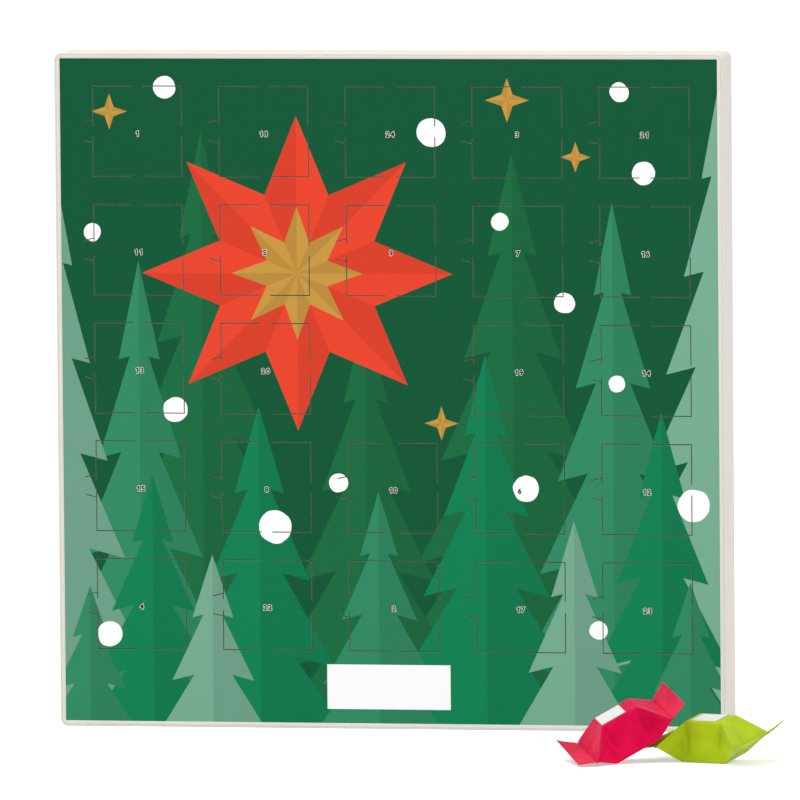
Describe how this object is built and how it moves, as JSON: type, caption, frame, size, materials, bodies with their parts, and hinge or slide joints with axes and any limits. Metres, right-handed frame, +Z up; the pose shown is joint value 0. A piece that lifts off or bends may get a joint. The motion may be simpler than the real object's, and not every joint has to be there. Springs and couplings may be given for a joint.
{
  "type": "chocolate advent calendar",
  "caption": "Upright square advent calendar: a moulded tray behind a printed card with hinged numbered doors, a card partition and wrapped chocolates.",
  "frame": {"origin": "middle of the tray's lower face, which it stands on", "axes": "+Z up the tray, +X to the right seen from the front, -Y out of the front card"},
  "size_m": [0.3834, 0.1987, 0.335],
  "materials": {
    "tray": "matte",
    "printed_card": "satin",
    "partition_card": "matte",
    "wrapper_1": "satin",
    "wrapper_2": "satin",
    "wrapper_3": "satin",
    "wrapper_4": "satin",
    "wrapper_5": "satin",
    "wrapper_6": "satin"
  },
  "bodies": {
    "calendar": {"chocolate_03": "wrapper_3", "chocolate_04": "wrapper_4", "chocolate_05": "wrapper_5", "chocolate_06": "wrapper_6", "chocolate_07": "wrapper_1", "chocolate_08": "wrapper_2", "chocolate_09": "wrapper_3", "chocolate_10": "wrapper_4", "chocolate_11": "wrapper_5", "chocolate_12": "wrapper_6", "chocolate_13": "wrapper_1", "chocolate_14": "wrapper_2", "chocolate_15": "wrapper_3", "chocolate_16": "wrapper_4", "chocolate_17": "wrapper_5", "chocolate_18": "wrapper_6", "chocolate_19": "wrapper_1", "chocolate_20": "wrapper_2", "chocolate_21": "wrapper_3", "chocolate_22": "wrapper_4", "chocolate_23": "wrapper_5", "chocolate_24": "wrapper_6", "front_card": "printed_card", "partition_shelf_1": "partition_card", "partition_shelf_2": "partition_card", "partition_shelf_3": "partition_card", "partition_shelf_4": "partition_card", "partition_shelf_5": "partition_card", "partition_upright_1": "partition_card", "partition_upright_2": "partition_card", "partition_upright_3": "partition_card", "partition_upright_4": "partition_card", "tray": "tray"},
    "door_01": {"door_01": "printed_card"},
    "door_02": {"door_02": "printed_card"},
    "door_03": {"door_03": "printed_card"},
    "door_04": {"door_04": "printed_card"},
    "door_05": {"door_05": "printed_card"},
    "door_06": {"door_06": "printed_card"},
    "door_07": {"door_07": "printed_card"},
    "door_08": {"door_08": "printed_card"},
    "door_09": {"door_09": "printed_card"},
    "door_10": {"door_10": "printed_card"},
    "door_11": {"door_11": "printed_card"},
    "door_12": {"door_12": "printed_card"},
    "door_13": {"door_13": "printed_card"},
    "door_14": {"door_14": "printed_card"},
    "door_15": {"door_15": "printed_card"},
    "door_16": {"door_16": "printed_card"},
    "door_17": {"door_17": "printed_card"},
    "door_18": {"door_18": "printed_card"},
    "door_19": {"door_19": "printed_card"},
    "door_20": {"door_20": "printed_card"},
    "door_21": {"door_21": "printed_card"},
    "door_22": {"door_22": "printed_card"},
    "door_23": {"door_23": "printed_card"},
    "door_24": {"door_24": "printed_card"},
    "lying_chocolate": {"chocolate_02": "wrapper_2"},
    "leaning_chocolate": {"chocolate_01": "wrapper_1"}
  },
  "joints": [
    {"name": "door_01_hinge", "type": "hinge", "parent": "calendar", "child": "door_01", "pos_m": [-0.1535, -0.0146, 0.29625], "axis": [0, 0, -1], "range_deg": [0, 165]},
    {"name": "door_02_hinge", "type": "hinge", "parent": "calendar", "child": "door_02", "pos_m": [-0.0263, -0.0146, 0.06105], "axis": [0, 0, -1], "range_deg": [0, 165]},
    {"name": "door_03_hinge", "type": "hinge", "parent": "calendar", "child": "door_03", "pos_m": [0.0373, -0.0146, 0.29625], "axis": [0, 0, -1], "range_deg": [0, 165]},
    {"name": "door_04_hinge", "type": "hinge", "parent": "calendar", "child": "door_04", "pos_m": [-0.1535, -0.0146, 0.06105], "axis": [0, 0, -1], "range_deg": [0, 165]},
    {"name": "door_05_hinge", "type": "hinge", "parent": "calendar", "child": "door_05", "pos_m": [-0.0899, -0.0146, 0.23745], "axis": [0, 0, -1], "range_deg": [0, 165]},
    {"name": "door_06_hinge", "type": "hinge", "parent": "calendar", "child": "door_06", "pos_m": [0.0373, -0.0146, 0.11985], "axis": [0, 0, -1], "range_deg": [0, 165]},
    {"name": "door_07_hinge", "type": "hinge", "parent": "calendar", "child": "door_07", "pos_m": [0.0373, -0.0146, 0.23745], "axis": [0, 0, -1], "range_deg": [0, 165]},
    {"name": "door_08_hinge", "type": "hinge", "parent": "calendar", "child": "door_08", "pos_m": [-0.0899, -0.0146, 0.11985], "axis": [0, 0, -1], "range_deg": [0, 165]},
    {"name": "door_09_hinge", "type": "hinge", "parent": "calendar", "child": "door_09", "pos_m": [-0.0263, -0.0146, 0.23745], "axis": [0, 0, -1], "range_deg": [0, 165]},
    {"name": "door_10_hinge", "type": "hinge", "parent": "calendar", "child": "door_10", "pos_m": [-0.0263, -0.0146, 0.11985], "axis": [0, 0, -1], "range_deg": [0, 165]},
    {"name": "door_11_hinge", "type": "hinge", "parent": "calendar", "child": "door_11", "pos_m": [-0.1535, -0.0146, 0.23745], "axis": [0, 0, -1], "range_deg": [0, 165]},
    {"name": "door_12_hinge", "type": "hinge", "parent": "calendar", "child": "door_12", "pos_m": [0.1009, -0.0146, 0.11985], "axis": [0, 0, -1], "range_deg": [0, 165]},
    {"name": "door_13_hinge", "type": "hinge", "parent": "calendar", "child": "door_13", "pos_m": [-0.1535, -0.0146, 0.17865], "axis": [0, 0, -1], "range_deg": [0, 165]},
    {"name": "door_14_hinge", "type": "hinge", "parent": "calendar", "child": "door_14", "pos_m": [0.1009, -0.0146, 0.17865], "axis": [0, 0, -1], "range_deg": [0, 165]},
    {"name": "door_15_hinge", "type": "hinge", "parent": "calendar", "child": "door_15", "pos_m": [-0.1535, -0.0146, 0.11985], "axis": [0, 0, -1], "range_deg": [0, 165]},
    {"name": "door_16_hinge", "type": "hinge", "parent": "calendar", "child": "door_16", "pos_m": [0.1009, -0.0146, 0.23745], "axis": [0, 0, -1], "range_deg": [0, 165]},
    {"name": "door_17_hinge", "type": "hinge", "parent": "calendar", "child": "door_17", "pos_m": [0.0373, -0.0146, 0.06105], "axis": [0, 0, -1], "range_deg": [0, 165]},
    {"name": "door_18_hinge", "type": "hinge", "parent": "calendar", "child": "door_18", "pos_m": [-0.0899, -0.0146, 0.29625], "axis": [0, 0, -1], "range_deg": [0, 165]},
    {"name": "door_19_hinge", "type": "hinge", "parent": "calendar", "child": "door_19", "pos_m": [0.0373, -0.0146, 0.17865], "axis": [0, 0, -1], "range_deg": [0, 165]},
    {"name": "door_20_hinge", "type": "hinge", "parent": "calendar", "child": "door_20", "pos_m": [-0.0899, -0.0146, 0.17865], "axis": [0, 0, -1], "range_deg": [0, 165]},
    {"name": "door_21_hinge", "type": "hinge", "parent": "calendar", "child": "door_21", "pos_m": [0.1009, -0.0146, 0.29625], "axis": [0, 0, -1], "range_deg": [0, 165]},
    {"name": "door_22_hinge", "type": "hinge", "parent": "calendar", "child": "door_22", "pos_m": [-0.0899, -0.0146, 0.06105], "axis": [0, 0, -1], "range_deg": [0, 165]},
    {"name": "door_23_hinge", "type": "hinge", "parent": "calendar", "child": "door_23", "pos_m": [0.1009, -0.0146, 0.06105], "axis": [0, 0, -1], "range_deg": [0, 165]},
    {"name": "door_24_hinge", "type": "hinge", "parent": "calendar", "child": "door_24", "pos_m": [-0.0263, -0.0146, 0.29625], "axis": [0, 0, -1], "range_deg": [0, 165]},
    {"name": "lying_chocolate_lift", "type": "slide", "parent": "calendar", "child": "lying_chocolate", "axis": [0, 0, 1], "range_m": [0, 0.06]},
    {"name": "leaning_chocolate_lift", "type": "slide", "parent": "lying_chocolate", "child": "leaning_chocolate", "axis": [0, 0, 1], "range_m": [0, 0.06]}
  ]
}
